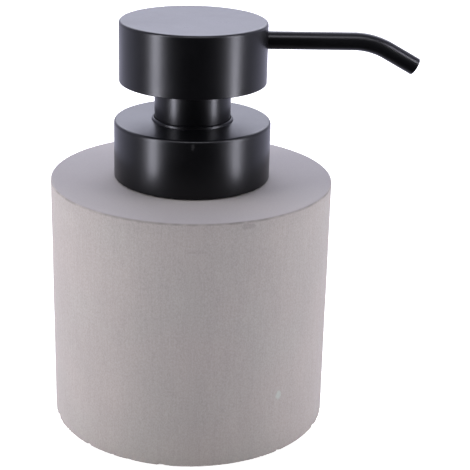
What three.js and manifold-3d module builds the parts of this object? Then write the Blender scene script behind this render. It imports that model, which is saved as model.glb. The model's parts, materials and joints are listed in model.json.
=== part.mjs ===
// A soap pump dispenser: a cast concrete vessel with a screw-on lotion pump under a black metal head.
// Millimetres, +Z up. The origin is the middle of the underside, the pump's axis is Z and the spout
// points along +X. The pump is drawn at rest, with its head up and its closure screwed down.
import * as THREE from "three";
import { mergeVertices } from "three/addons/utils/BufferGeometryUtils.js";
import Module from "manifold-3d";

const wasm = await Module();
wasm.setup();

// ---- Driving dimensions ----
const fit = 0.3; // the gap kept between neighbouring pieces
const overlap = 0.4; // how far a rib reaches into what it joins
const stroke = 10; // how far the head goes down

// Heights are measured from the surface that the dispenser stands on.
const vessel = { radius: 42.5, base: 0.1, top: 76.6, cavity: 34.5, floor: 9, ceiling: 67.6 };
const pad = { radius: 36, thickness: 1.7 };
const neck = { bore: 11.5, radius: 12.7, skirt: 14.3, flange: 18.1, flangeHeight: 1.9, foot: 66.5, lip: 87 };
const thread = { pitch: 4.2, depth: 1, root: 0.85, crest: 0.45, anchor: 0.4, runOut: 0.09, top: 86 };
const gasket = { radius: 12.7, thickness: 1 };
const cover = { radius: 23.45, wall: 1.2, plate: 1.8, top: 94.4, hole: 11.75, lip: 0.9, lipWidth: 0.4 };
const cap = { wall: 1.2, sleeve: 1.8, plate: 1.6, ribs: 8, ribBottom: 82, crestGap: 0.4, threadGap: 0.45 };
const collar = { radius: 11.4, wall: 0.6, top: 105.6, opening: 8.7 };
const head = { radius: 21.9, wall: 1.2, plate: 1.4, bottom: 106.1, top: 124.3 };
const hub = { radius: 7.4, bottom: 107.4 };
const spout = { radius: 2.7, bore: 2.15, height: 118.6, root: 12.2, straight: 47.2, bend: 21.1, tip: 9.7 };
const spoutBend = THREE.MathUtils.degToRad(29.2);
const liner = { radius: 1.7, bore: 1.2, root: 8.5, setBack: 1 };
const barrel = { radius: 7, bore: 6, ledge: 47.7, top: 94.9 };
const flange = { radius: 13.4, bottom: 88.6, top: 90.4 };
const snap = { neck: 8, bead: 0.35, height: 92.6 };
const guide = { bore: 8.75, recess: 8.3, web: 1.6, stemGap: 0.4 };
const socket = { radius: 4.1, bore: 3.1, bottom: 30.5, top: 40.4 };
const inlet = { radius: 1.7, seatBottom: 42.2, seatTop: 43.6, chamber: 3.3, ball: 2.38, ballHeight: 44.3 };
const tube = { radius: 2.8, bore: 2, bottom: 12 };
const stem = { radius: 4, bore: 2, neck: 3.3, shoulder: 4.9, shoulderBottom: 83.7, bottom: 76.5, top: 113 };
const seat = { pin: 2.6, pinBottom: 64, plug: 4.7, plugBottom: 73, plugTop: 75, shankTop: 84, blade: 0.9 };
const spring = { radius: 4.1, wire: 0.45, bottom: 50.2, top: 72.2, turns: 6.5 };

const largeSides = 40; // round pieces wider than the neck
const neckSides = 28;
const pumpSides = 20; // the pump's own round pieces
const cornerSteps = 3;

// ---- Materials ----
const material = (color, roughness, metalness = 0) =>
  new THREE.MeshStandardMaterial({ color, roughness, metalness });
const concrete = material(0xaaa3a0, 0.95);
const blackMetal = material(0x0e0e11, 0.35, 0.6);
const blackPlastic = material(0x1a1a1c, 0.5);
const clearPlastic = material(0xdcdedb, 0.35);
const whitePlastic = material(0xefefec, 0.45);
const foam = material(0x2a2a2c, 0.9);
const steel = material(0xc9cacd, 0.25, 1);

// ---- Shape helpers ----

// A corner is [radius, height, rounding]. Rounded corners become arcs that touch both of their sides.
function outlineOf(corners) {
  const at = corners.map(([r, z]) => new THREE.Vector2(r, z));
  const count = corners.length;
  return corners.flatMap(([, , rounding = 0], i) => {
    if (rounding === 0) return [at[i]];
    const before = at[(i + count - 1) % count].clone().sub(at[i]).normalize();
    const after = at[(i + 1) % count].clone().sub(at[i]).normalize();
    const halfAngle = Math.acos(before.dot(after)) / 2;
    const towards = before.clone().add(after).normalize();
    const centre = at[i].clone().addScaledVector(towards, rounding / Math.sin(halfAngle));
    const start = at[i].clone().addScaledVector(before, rounding / Math.tan(halfAngle)).sub(centre);
    const turn = (Math.PI - 2 * halfAngle) * Math.sign(after.cross(before));
    return Array.from({ length: cornerSteps + 1 }, (_, k) =>
      start.clone().rotateAround(new THREE.Vector2(), (turn * k) / cornerSteps).add(centre));
  });
}

// Turns an outline round Z. It runs up the outside and down the inside. An outline that doesn't
// begin on the axis closes on itself.
function turned(corners, sides) {
  const outline = outlineOf(corners);
  if (outline[0].x > 0) outline.push(outline[0].clone());
  return new THREE.LatheGeometry(outline, sides).rotateX(Math.PI / 2);
}

function ring(inner, outer, bottom, top, sides) {
  return turned([[inner, bottom], [outer, bottom], [outer, top], [inner, top]], sides);
}

// A bar along X, from x = from to x = to, at that height.
function barX(radius, from, to, height, sides = 16) {
  return new THREE.CylinderGeometry(radius, radius, to - from, sides)
    .rotateZ(Math.PI / 2)
    .translate((from + to) / 2, 0, height);
}

// A bar along Y, from y = from to y = to, at that height.
function barY(radius, from, to, height, sides = 8) {
  return new THREE.CylinderGeometry(radius, radius, to - from, sides).translate(0, (from + to) / 2, height);
}

function block(low, high) {
  const size = high.map((value, i) => value - low[i]);
  return new THREE.BoxGeometry(...size).translate(...low.map((value, i) => value + size[i] / 2));
}

// Ribs that stand round the axis between two radii.
function ribs(count, firstAngle, [inner, outer], thickness, [bottom, top]) {
  return Array.from({ length: count }, (_, i) =>
    block([inner, -thickness / 2, bottom], [outer, thickness / 2, top])
      .rotateZ(firstAngle + (i * 2 * Math.PI) / count));
}

// Winds a section (radius, height) down a right-handed helix. from and to count turns from the
// height of the section itself. share(turn) draws the section in towards its anchor radius.
function wound(section, pitch, from, to, stepsPerTurn, anchor = 0, share = () => 1) {
  const steps = Math.round((to - from) * stepsPerTurn);
  const bar = new THREE.ExtrudeGeometry(section, { depth: to - from, steps, bevelEnabled: false });
  const place = bar.getAttribute("position");
  for (let i = 0; i < place.count; i++) {
    const turn = from + place.getZ(i);
    const radius = anchor + (place.getX(i) - anchor) * share(turn);
    const angle = -2 * Math.PI * turn;
    place.setXYZ(i, radius * Math.cos(angle), radius * Math.sin(angle), place.getY(i) - pitch * turn);
  }
  return bar;
}

// A thread ridge whose foot is anchored in a wall. It runs out at both ends.
function threadRidge(wall, outward, height, from, to) {
  const foot = wall - outward * thread.anchor;
  const crest = wall + outward * thread.depth;
  const section = new THREE.Shape([
    new THREE.Vector2(foot, height - thread.root),
    new THREE.Vector2(crest, height - thread.crest),
    new THREE.Vector2(crest, height + thread.crest),
    new THREE.Vector2(foot, height + thread.root),
  ]);
  const share = (turn) =>
    THREE.MathUtils.clamp(Math.min(turn - from, to - turn) / thread.runOut, 0.2, 1);
  return wound(section, thread.pitch, from, to, neckSides, foot, share);
}

// ---- Cutting and joining ----
function solid(geometry) {
  const bare = geometry.clone();
  bare.deleteAttribute("normal");
  bare.deleteAttribute("uv");
  const merged = mergeVertices(bare, 1e-4);
  return new wasm.Manifold(new wasm.Mesh({
    numProp: 3,
    vertProperties: merged.getAttribute("position").array,
    triVerts: new Uint32Array(merged.index.array),
  }));
}

function shaped(base, { add = [], cut = [] }) {
  const joined = add.reduce((whole, piece) => whole.add(solid(piece)), solid(base));
  const made = cut.reduce((whole, piece) => whole.subtract(solid(piece)), joined).getMesh();
  const geometry = new THREE.BufferGeometry()
    .setAttribute("position", new THREE.BufferAttribute(made.vertProperties, made.numProp))
    .setIndex(new THREE.BufferAttribute(made.triVerts, 1));
  geometry.computeVertexNormals();
  return geometry;
}

// ---- The vessel ----

// Cast in one piece: a recess for the pad below, a mouth with a seat for the neck insert above.
function concreteVessel() {
  const padSeat = pad.thickness + fit;
  const flangeSeat = vessel.top - neck.flangeHeight - fit;
  return turned([
    [0, padSeat],
    [pad.radius + fit, padSeat],
    [pad.radius + fit, vessel.base],
    [vessel.radius, vessel.base, 0.6],
    [vessel.radius, vessel.top, 0.9],
    [neck.flange + fit, vessel.top],
    [neck.flange + fit, flangeSeat],
    [neck.skirt + fit, flangeSeat],
    [neck.skirt + fit, vessel.ceiling],
    [vessel.cavity, vessel.ceiling, 4.5],
    [vessel.cavity, vessel.floor, 6],
    [0, vessel.floor],
  ], largeSides);
}

// The threaded neck is moulded in plastic and glued into the vessel's mouth.
function neckInsert() {
  const flangeBottom = vessel.top - neck.flangeHeight;
  const bead = 0.7; // stops the thread above it from being screwed down too far
  const beadBottom = vessel.top + 0.6;
  const body = turned([
    [neck.bore, neck.foot],
    [neck.skirt, neck.foot],
    [neck.skirt, flangeBottom],
    [neck.flange, flangeBottom],
    [neck.flange, vessel.top],
    [neck.radius, vessel.top],
    [neck.radius, beadBottom],
    [neck.radius + bead, beadBottom + bead / 2],
    [neck.radius + bead, beadBottom + bead],
    [neck.radius, beadBottom + 1.5 * bead],
    [neck.radius, neck.lip, 0.3],
    [neck.bore, neck.lip],
  ], neckSides);
  return shaped(body, { add: [threadRidge(neck.radius, 1, thread.top, 0, 1.1)] });
}

function basePad() {
  return turned([[0, 0], [pad.radius, 0], [pad.radius, pad.thickness], [0, pad.thickness]], largeSides);
}

// ---- The closure: a metal cover pressed over a threaded plastic ring ----
function closureCover() {
  const bottom = vessel.top + fit;
  const inside = cover.radius - cover.wall;
  const ceiling = cover.top - cover.plate;
  const { lip, lipWidth } = cover;
  return turned([
    [inside, bottom],
    [cover.radius, bottom, 0.5],
    [cover.radius, cover.top, 1],
    [cover.hole + lipWidth, cover.top],
    [cover.hole + lipWidth * 0.7, cover.top + lip * 0.8],
    [cover.hole, cover.top + lip],
    [cover.hole, ceiling],
    [inside, ceiling],
  ], largeSides);
}

function screwRing() {
  const threadWall = neck.radius + thread.depth + cap.crestGap;
  const sleeve = threadWall + cap.sleeve;
  const outer = cover.radius - cover.wall - fit;
  const skirt = outer - cap.wall;
  const plate = flange.top + fit;
  const plateTop = plate + cap.plate;
  const bottom = vessel.top + 2 * fit;
  const body = turned([
    [threadWall, bottom + fit],
    [sleeve, bottom + fit],
    [sleeve, plate],
    [skirt, plate],
    [skirt, bottom],
    [outer, bottom],
    [outer, plateTop],
    [cover.hole, plateTop],
    [cover.hole, plate],
    [threadWall, plate],
  ], largeSides);
  const taper = (thread.root - thread.crest) / (thread.anchor + thread.depth);
  const below = 2 * thread.crest + taper * (thread.depth - cap.crestGap) + cap.threadGap;
  const ridge = threadRidge(threadWall, -1, thread.top - below, 0.2, 1.15);
  const span = [sleeve - overlap, skirt + overlap];
  const webs = ribs(cap.ribs, Math.PI / cap.ribs, span, cap.wall, [cap.ribBottom, plate + overlap]);
  return shaped(body, { add: [ridge, ...webs] });
}

// ---- The pump's fixed pieces ----
function neckGasket() {
  const bottom = neck.lip + fit;
  return ring(barrel.radius + fit, gasket.radius, bottom, bottom + gasket.thickness, neckSides);
}

// The pump's cylinder: a flange above, the bore, a ledge for the ball's retainer, the conical inlet
// seat and a socket for the dip tube. A vent lets air into the vessel.
function pumpHousing() {
  const waist = inlet.chamber + 1.5;
  const body = turned([
    [socket.bore, socket.bottom],
    [socket.radius, socket.bottom],
    [socket.radius, inlet.seatBottom - 1.2],
    [waist, inlet.seatBottom - 0.2],
    [waist, inlet.seatTop + 1.4],
    [barrel.radius, barrel.ledge - 0.5],
    [barrel.radius, flange.bottom],
    [flange.radius, flange.bottom],
    [flange.radius, flange.top],
    [snap.neck, flange.top],
    [snap.neck, snap.height - snap.bead],
    [snap.neck + snap.bead, snap.height],
    [snap.neck, snap.height + snap.bead],
    [snap.neck, barrel.top],
    [barrel.bore, barrel.top],
    [barrel.bore, barrel.ledge],
    [inlet.chamber, barrel.ledge],
    [inlet.chamber, inlet.seatTop],
    [inlet.radius, inlet.seatBottom],
    [inlet.radius, socket.top],
    [socket.bore, socket.top],
  ], pumpSides);
  const vent = barY(0.6, barrel.bore - 1, barrel.radius + 1, flange.bottom - 2.6);
  return shaped(body, { cut: [vent] });
}

// Snaps over the housing's top and guides the stem. The head's hub comes down into its open top.
function stemGuide() {
  const radius = collar.radius - collar.wall - fit;
  const bottom = flange.top + fit;
  const web = barrel.top + fit;
  const webTop = web + guide.web;
  const top = collar.top - collar.wall - fit;
  const hole = stem.radius + guide.stemGap;
  return turned([
    [guide.bore, bottom],
    [radius, bottom],
    [radius, top],
    [guide.recess, top],
    [guide.recess, webTop],
    [hole, webTop],
    [hole, web],
    [guide.bore, web],
  ], pumpSides);
}

// A ring whose inner edge tapers to a lip on the stem.
function stemWiper() {
  const top = barrel.top - fit;
  const bottom = top - 2.2;
  const outside = barrel.bore - fit;
  const lip = stem.radius + fit;
  return turned([
    [lip + 0.5, bottom],
    [outside, bottom],
    [outside, top],
    [lip, top],
    [lip, top - 0.7],
  ], pumpSides);
}

// The black sleeve between the closure and the head. Its top turns in over the guide.
function collarSleeve() {
  const inside = collar.radius - collar.wall;
  const bottom = flange.top + fit;
  const ceiling = collar.top - collar.wall;
  return turned([
    [inside, bottom],
    [collar.radius, bottom],
    [collar.radius, collar.top, 0.3],
    [collar.opening, collar.top],
    [collar.opening, ceiling],
    [inside, ceiling],
  ], neckSides);
}

// Keeps the inlet ball in its chamber and carries the spring. Three slots let the soap past.
function ballRetainer() {
  const bottom = barrel.ledge + fit;
  const disc = ring(1.3, barrel.bore - fit, bottom, bottom + 1.4, pumpSides);
  const slots = [0, 1, 2].map((i) =>
    block([0, -0.6, bottom - 1], [3.1, 0.6, bottom + 3]).rotateZ((i * 2 * Math.PI) / 3));
  return shaped(disc, { cut: slots });
}

function inletBall() {
  return new THREE.SphereGeometry(inlet.ball, 12, 8).rotateX(Math.PI / 2).translate(0, 0, inlet.ballHeight);
}

// A straight tube whose lower end is cut on the slant, so that it can't seal itself on the floor.
function dipTube() {
  const body = ring(tube.bore, tube.radius, tube.bottom, socket.top - fit, 16);
  const slant = new THREE.BoxGeometry(20, 20, 10)
    .translate(0, 0, -5)
    .rotateY(Math.PI / 4)
    .translate(0, 0, tube.bottom + tube.radius);
  return shaped(body, { cut: [slant] });
}

// ---- The pump's sliding pieces ----

// The hollow stem carries the head and pushes the piston down by its shoulder.
function pumpStem() {
  const body = turned([
    [stem.bore, stem.bottom],
    [stem.neck, stem.bottom],
    [stem.neck, stem.shoulderBottom],
    [stem.shoulder, stem.shoulderBottom],
    [stem.shoulder, stem.shoulderBottom + 1],
    [stem.radius, stem.shoulderBottom + 2],
    [stem.radius, stem.top],
    [stem.bore, stem.top],
  ], pumpSides);
  return shaped(body, { cut: [barY(0.8, -5, 5, 78.6)] });
}

// The plug that closes the piston from below. Its pin sits in the spring. Its shank, a cross of two
// blades, grips the stem's bore and leaves the soap room to pass.
function pistonSeat() {
  const shoulder = stem.bottom - fit;
  const reach = stem.bore - fit;
  const plug = turned([
    [0, seat.pinBottom],
    [seat.pin, seat.pinBottom, 0.5],
    [seat.pin, seat.plugBottom],
    [seat.plug, seat.plugBottom],
    [seat.plug, seat.plugTop],
    [stem.neck - 0.1, shoulder],
    [0, shoulder],
  ], pumpSides);
  const blade = block([-reach, -seat.blade / 2, seat.plugTop], [reach, seat.blade / 2, seat.shankTop]);
  return shaped(plug, { add: [blade, blade.clone().rotateZ(Math.PI / 2)] });
}

// A sleeve with a lip at each end. It slides a little on the stem, which opens and closes the outlet.
function piston() {
  const lip = barrel.bore - fit;
  const lipWall = 0.6;
  const waist = 5.2;
  const inside = stem.neck + fit;
  const bottom = stem.bottom;
  const top = bottom + 4.9;
  return turned([
    [inside, bottom],
    [lip - lipWall - 0.5, bottom],
    [lip - lipWall, bottom - 0.8],
    [lip, bottom - 0.8],
    [lip, bottom + 0.7],
    [waist, bottom + 1.3],
    [waist, top - 1],
    [lip, top - 0.4],
    [lip, top + 0.8],
    [lip - lipWall, top + 0.8],
    [lip - lipWall - 0.3, top],
    [inside, top],
  ], pumpSides);
}

function returnSpring() {
  const sidesOfWire = 6;
  const circle = Array.from({ length: sidesOfWire }, (_, i) => {
    const angle = (i * 2 * Math.PI) / sidesOfWire;
    const height = spring.top + spring.wire * Math.sin(angle);
    return new THREE.Vector2(spring.radius + spring.wire * Math.cos(angle), height);
  });
  const pitch = (spring.top - spring.bottom) / spring.turns;
  return wound(new THREE.Shape(circle), pitch, 0, spring.turns, 12);
}

// ---- The head ----

// A hollow drum, open below, that comes down round the collar.
function headShell() {
  const inside = head.radius - head.wall;
  const ceiling = head.top - head.plate;
  const drum = turned([
    [0, ceiling],
    [inside, ceiling],
    [inside, head.bottom],
    [head.radius, head.bottom],
    [head.radius, head.top, 0.9],
    [0, head.top],
  ], largeSides);
  const hole = barX(spout.radius + fit, inside - 4, head.radius + 4, spout.height);
  return shaped(drum, { cut: [hole] });
}

// The plastic core fills the drum's ceiling, grips the stem in its hub and leads the soap out to the
// spout. What reaches over the collar stays above the collar's top with the head pressed down.
function headCore() {
  const wall = 1.5;
  const top = head.top - head.plate - fit;
  const plate = top - wall;
  const rim = head.radius - head.wall - fit;
  const channel = 1.6;
  const overCollar = collar.top + stroke + 0.4;
  const body = turned([
    [0, spout.height + channel],
    [channel, spout.height + channel],
    [channel, stem.top + fit],
    [stem.radius + fit, stem.top + fit],
    [stem.radius + fit, hub.bottom],
    [hub.radius, hub.bottom],
    [hub.radius, plate],
    [rim - wall, plate],
    [rim - wall, overCollar],
    [rim, overCollar],
    [rim, top],
    [0, top],
  ], largeSides);
  const socketStart = spout.root - fit;
  const bridge = block([5, -2.8, overCollar], [socketStart + 1, 2.8, plate + overlap]);
  const sleeve = barX(spout.radius + fit + 0.9, socketStart, rim - 0.8, spout.height, 24);
  const ribCount = 6; // the last of them would stand under the spout
  const span = [hub.radius - overlap, rim - wall + overlap];
  const stiffeners = ribs(ribCount, Math.PI / 3, span, 1.2, [overCollar + 1, plate + overlap])
    .slice(0, ribCount - 1);
  return shaped(body, {
    add: [bridge, sleeve, ...stiffeners],
    cut: [
      barX(channel, 0, liner.root, spout.height, 12),
      barX(liner.radius + fit, liner.root - fit, spout.root, spout.height, 12),
      barX(spout.radius + fit, socketStart, head.radius, spout.height),
    ],
  });
}

// The spout's centre line: level from start, round the bend, then straight down to the tip.
class SpoutLine extends THREE.Curve {
  constructor(start, tip) {
    super();
    this.level = spout.straight - start;
    this.start = start;
    this.tip = tip;
    this.length = this.level + spout.bend * spoutBend + tip;
  }

  getPoint(t, target = new THREE.Vector3()) {
    const along = t * this.length;
    const onLevel = Math.min(along, this.level);
    const angle = THREE.MathUtils.clamp((along - this.level) / spout.bend, 0, spoutBend);
    const past = Math.max(0, along - this.length + this.tip);
    return target.set(
      this.start + onLevel + spout.bend * Math.sin(angle) + past * Math.cos(spoutBend),
      0,
      spout.height - spout.bend * (1 - Math.cos(angle)) - past * Math.sin(spoutBend),
    );
  }
}

function bentTube(outer, inner, start, tip, sides, steps) {
  const section = new THREE.Shape().absarc(0, 0, outer, 0, 2 * Math.PI, false);
  section.holes.push(new THREE.Path().absarc(0, 0, inner, 0, 2 * Math.PI, true));
  const extrudePath = new SpoutLine(start, tip);
  return new THREE.ExtrudeGeometry(section, { steps, curveSegments: sides, extrudePath });
}

function spoutTube() {
  return bentTube(spout.radius, spout.bore, spout.root, spout.tip, 9, 16);
}

// The soap runs in a soft inner tube that ends just inside the tip.
function spoutLiner() {
  return bentTube(liner.radius, liner.bore, liner.root, spout.tip - liner.setBack, 6, 14);
}

// ---- Assembly ----
const pieces = [
  ["concrete_vessel", concreteVessel, concrete],
  ["neck_insert", neckInsert, blackPlastic],
  ["base_pad", basePad, foam],
  ["neck_gasket", neckGasket, whitePlastic],
  ["closure_cover", closureCover, blackMetal],
  ["screw_ring", screwRing, blackPlastic],
  ["pump_housing", pumpHousing, clearPlastic],
  ["stem_guide", stemGuide, blackPlastic],
  ["stem_wiper", stemWiper, whitePlastic],
  ["collar_sleeve", collarSleeve, blackMetal],
  ["ball_retainer", ballRetainer, clearPlastic],
  ["inlet_ball", inletBall, steel],
  ["dip_tube", dipTube, clearPlastic],
  ["pump_stem", pumpStem, clearPlastic],
  ["piston_seat", pistonSeat, clearPlastic],
  ["piston", piston, whitePlastic],
  ["return_spring", returnSpring, steel],
  ["head_shell", headShell, blackMetal],
  ["head_core", headCore, blackPlastic],
  ["spout_tube", spoutTube, blackMetal],
  ["spout_liner", spoutLiner, whitePlastic],
];

const dispenser = new THREE.Group();
for (const [name, build, finish] of pieces) {
  const mesh = new THREE.Mesh(build(), finish);
  mesh.name = name;
  dispenser.add(mesh);
}

export default dispenser;
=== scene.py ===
"""A concrete soap dispenser with a black metal pump, built round its engineering frame."""
import json
import math

import bmesh
import bpy
from bpy.props import FloatProperty, FloatVectorProperty, PointerProperty
from mathutils import Matrix, Vector, noise
from mathutils.kdtree import KDTree


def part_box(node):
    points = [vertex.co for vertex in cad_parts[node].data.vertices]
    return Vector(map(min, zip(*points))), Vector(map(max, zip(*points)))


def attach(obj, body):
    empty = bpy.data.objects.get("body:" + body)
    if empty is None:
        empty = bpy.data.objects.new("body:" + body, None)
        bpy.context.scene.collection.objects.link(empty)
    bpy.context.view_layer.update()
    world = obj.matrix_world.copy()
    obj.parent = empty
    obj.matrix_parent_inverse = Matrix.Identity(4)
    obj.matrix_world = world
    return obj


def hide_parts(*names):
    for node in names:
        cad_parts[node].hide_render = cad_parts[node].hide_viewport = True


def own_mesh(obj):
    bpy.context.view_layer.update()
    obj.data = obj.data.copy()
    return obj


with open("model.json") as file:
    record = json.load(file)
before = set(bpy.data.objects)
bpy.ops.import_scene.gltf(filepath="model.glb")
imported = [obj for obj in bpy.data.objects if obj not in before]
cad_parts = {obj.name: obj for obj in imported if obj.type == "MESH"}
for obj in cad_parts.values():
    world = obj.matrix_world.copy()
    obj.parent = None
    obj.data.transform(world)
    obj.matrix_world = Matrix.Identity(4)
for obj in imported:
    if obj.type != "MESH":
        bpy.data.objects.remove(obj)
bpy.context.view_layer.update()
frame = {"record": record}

bl_info = {
    "name": "Soap Pump Dispenser",
    "version": (1, 0, 0),
    "blender": (4, 5, 0),
    "location": "3D View > Sidebar > Soap Pump",
    "description": "Builds a concrete soap dispenser and its lotion pump, piece by piece",
    "category": "Add Mesh",
}

mm = 0.001
TURN = 2 * math.pi
RECORD = frame["record"]
BODY_OF = {node: body for body, nodes in RECORD["behaviour"]["bodies"].items() for node in nodes}
GAP = 0.3 * mm  # the clearance that the frame keeps between neighbouring pieces


# ---- Where the frame puts each piece ----

def reach(node):
    """The outer radius of a round piece."""
    low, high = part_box(node)
    return (high.y - low.y) / 2


def bottom(node):
    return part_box(node)[0].z


def top(node):
    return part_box(node)[1].z


def extent(node):
    """The radius of a round piece and the heights of its foot and top."""
    return reach(node), bottom(node), top(node)


# ---- Settings ----

def length(name, size, about):
    """A setting that is a length, with its default in millimetres."""
    return FloatProperty(name=name, description=about, default=size * mm, unit="LENGTH")


def angle(name, degrees, about):
    return FloatProperty(name=name, description=about, default=math.radians(degrees), subtype="ANGLE")


def number(name, default, about):
    return FloatProperty(name=name, description=about, default=default)


def colour(name, default, about):
    return FloatVectorProperty(name=name, description=about, default=default, size=3, subtype="COLOR")


class VesselSettings(bpy.types.PropertyGroup):
    """The cast concrete body."""
    wall: length("Wall", 8, "Thickness of the concrete wall")
    floor: length("Floor", 9, "Height of the cavity's floor")
    shoulder: length("Shoulder", 9, "Thickness of the concrete round the mouth")
    top_round: length("Top edge", 0.45, "Rounding of the top edge")
    base_round: length("Bottom edge", 0.5, "Rounding of the bottom edge")
    chipping: length("Chipping", 1.8, "How far the bottom edge is chipped")
    waviness: length("Waviness", 0.06, "How far the cast surface wanders")


class PumpSettings(bpy.types.PropertyGroup):
    """The metal and plastic pieces of the pump."""
    metal_wall: length("Metal wall", 1.2, "Wall of the drum and the cover")
    drum_top: length("Drum top", 1.4, "Thickness of the drum's top")
    edge_round: length("Edge rounding", 0.9, "Rounding of the metal's top edges")
    spout_wall: length("Spout wall", 0.55, "Wall of the metal spout")
    spout_bend: length("Spout bend", 21.1, "Radius of the bend along its middle")
    spout_angle: angle("Spout angle", 29.2, "How far the tip is bent down")
    spout_straight: length("Spout straight", 47.2, "Where the bend starts, from the axis")
    wire: length("Spring wire", 0.45, "Radius of the spring's wire")
    coils: number("Spring coils", 9.0, "Turns of the spring, closed ends included")
    thread_pitch: length("Thread pitch", 4.2, "Rise of the thread in a turn")


class FinishSettings(bpy.types.PropertyGroup):
    """The colours of the materials."""
    concrete: colour("Concrete", (0.364, 0.337, 0.323), "Colour of the cast side")
    black: colour("Black", (0.0016, 0.0016, 0.0022), "Colour of the coated metal")
    black_roughness: FloatProperty(name="Satin", description="Roughness of the coated metal",
                                   default=0.30, min=0.0, max=1.0)


class StageSettings(bpy.types.PropertyGroup):
    """The camera and the floor."""
    lens: FloatProperty(name="Lens", description="Focal length", default=103.56, subtype="DISTANCE_CAMERA")
    distance: number("Distance", 9.833, "Camera distance, in radii of the vessel")
    across: number("Across", 0.3206, "Where the camera aims, right of the axis, in radii")
    up: number("Up", 1.3538, "Where the camera aims, above the base, in radii")
    azimuth: angle("Azimuth", -3.06, "Turn of the camera round the dispenser")
    elevation: angle("Elevation", 20.895, "How far the camera looks down")
    roll: angle("Roll", 1.49, "Tilt of the camera about its view")
    floor_size: length("Floor", 6000, "Half the width of the floor")


class SoapPumpSettings(bpy.types.PropertyGroup):
    """All the settings of the dispenser."""
    vessel: PointerProperty(name="Vessel", description="The concrete body", type=VesselSettings)
    pump: PointerProperty(name="Pump", description="Metal and plastic pieces", type=PumpSettings)
    finish: PointerProperty(name="Finish", description="Colours", type=FinishSettings)
    stage: PointerProperty(name="Stage", description="Camera and floor", type=StageSettings)


def settings():
    return bpy.context.scene.soap_pump


# ---- Meshes ----

HOLD = 0.12 * mm  # a loop this close to a corner keeps the flat beside it flat
ROUND_SIDES = 192  # of the largest metal pieces
MOULDED_SIDES = 128  # of the cap and the neck
SMALL_SIDES = 96  # of the pump's inner pieces
MERGE = 1e-7  # points closer than this are one


def rounded(corners, steps):
    """Turns (radius, height, rounding) corners into an outline with arcs for its corners."""
    points = [Vector(corner[:2]) for corner in corners]
    rounding = [corner[2] if len(corner) > 2 else 0 for corner in corners]
    count = len(points)
    befores = [(points[i - 1] - points[i]).normalized() for i in range(count)]
    afters = [(points[(i + 1) % count] - points[i]).normalized() for i in range(count)]
    halves = [before.angle(after) / 2 for before, after in zip(befores, afters)]
    runs = [size / math.tan(half) if size else 0 for size, half in zip(rounding, halves)]
    outline = []
    for i, here in enumerate(points):
        if not rounding[i]:
            outline.append(here)
            continue
        before, after, half = befores[i], afters[i], halves[i]
        centre = here + (before + after).normalized() * (rounding[i] / math.sin(half))
        start = here + before * runs[i] - centre
        turn = math.copysign(math.pi - 2 * half, after.x * before.y - after.y * before.x)
        arc = [centre + Matrix.Rotation(turn * k / steps, 2) @ start for k in range(steps + 1)]
        ends = []
        for other, direction in ((i - 1, before), ((i + 1) % count, after)):
            spare = (points[other] - here).length - runs[i] - runs[other]
            ends.append([here + direction * (runs[i] + HOLD)] if spare > 3 * HOLD else [])
        outline += ends[0] + arc + ends[1]
    return outline


def subdivided(outline, pieces_of):
    """An outline with points added on its stretches, as many as pieces_of gives for each."""
    points = []
    for here, there in zip(outline, outline[1:]):
        pieces = pieces_of(here, there)
        points += [here.lerp(there, k / pieces) for k in range(pieces)]
    return points


def circle(bm, radius, height, sides):
    """A ring of points. radius is a number, or a function of the column."""
    ring = []
    for column in range(sides):
        here = radius(column) if callable(radius) else radius
        turn = TURN * column / sides
        ring.append(bm.verts.new((here * math.cos(turn), here * math.sin(turn), height)))
    return ring


def turned(outline, sides, closed=True):
    """A bmesh turned round Z from an outline that runs up the outside and down the inside."""
    bm = bmesh.new()
    rings = [
        circle(bm, point.x, point.y, sides) if point.x > 1e-9 else [bm.verts.new((0, 0, point.y))]
        for point in outline
    ]
    for lower, upper in zip(rings, rings[1:] + rings[:1] if closed else rings[1:]):
        if len(lower) > 1 or len(upper) > 1:
            stitch(bm, lower, upper, sides)
    return bm


def stitch(bm, ring, other, sides=None):
    """Faces between two rings, one of which may be a single point."""
    for k in range(sides or len(ring)):
        n = k + 1
        corners = (ring[k % len(ring)], ring[n % len(ring)], other[n % len(other)], other[k % len(other)])
        bm.faces.new(tuple(dict.fromkeys(corners)))


def lathe(corners, sides, steps=6):
    on_axis = corners[0][0] == 0 and corners[-1][0] == 0
    return turned(rounded(corners, steps), sides, closed=not on_axis)


def pierced(bm, sides, column, rows, radii, size):
    """Cuts a round hole through the two walls of a turned piece, square to its axis.

    column is the column of points in the middle of the hole, rows the heights of the rings about it, and
    radii the outer and inner radius of the wall. The grid round the hole bends into rings.
    """
    half = (len(rows) - 1) // 2
    middle = rows[half]
    turn = Matrix.Rotation(TURN * column / sides, 3, "Z")
    steps = 4
    rims = []
    for radius in radii:
        def corner(across, up):
            bearing = TURN * across / sides
            flat = Vector((radius * math.cos(bearing), radius * math.sin(bearing), rows[up + half]))
            return bm.verts[near.find(turn @ flat)[1]]

        bm.verts.ensure_lookup_table()
        near = KDTree(len(bm.verts))
        for index, vert in enumerate(bm.verts):
            near.insert(vert.co, index)
        near.balance()
        within = range(-half + 1, half)
        inside = [corner(across, up) for across in within for up in within]
        walk = range(-half, half)
        edge = [corner(k, -half) for k in walk] + [corner(half, k) for k in walk]
        edge += [corner(-k, half) for k in walk] + [corner(-half, -k) for k in walk]
        bmesh.ops.delete(bm, geom=inside, context="VERTS")
        ring = edge
        for step in range(1, steps + 1):
            inner = []
            for vert in edge:
                flat = turn.inverted() @ vert.co
                spoke = Vector((flat.y, flat.z - middle))
                across, up = spoke.lerp(spoke.normalized() * size, step / steps)
                depth = math.sqrt(radius ** 2 - across ** 2)
                inner.append(bm.verts.new(turn @ Vector((depth, across, middle + up))))
            stitch(bm, ring, inner)
            ring = inner
        rims.append(ring)
    stitch(bm, *rims)
    return bm


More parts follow.
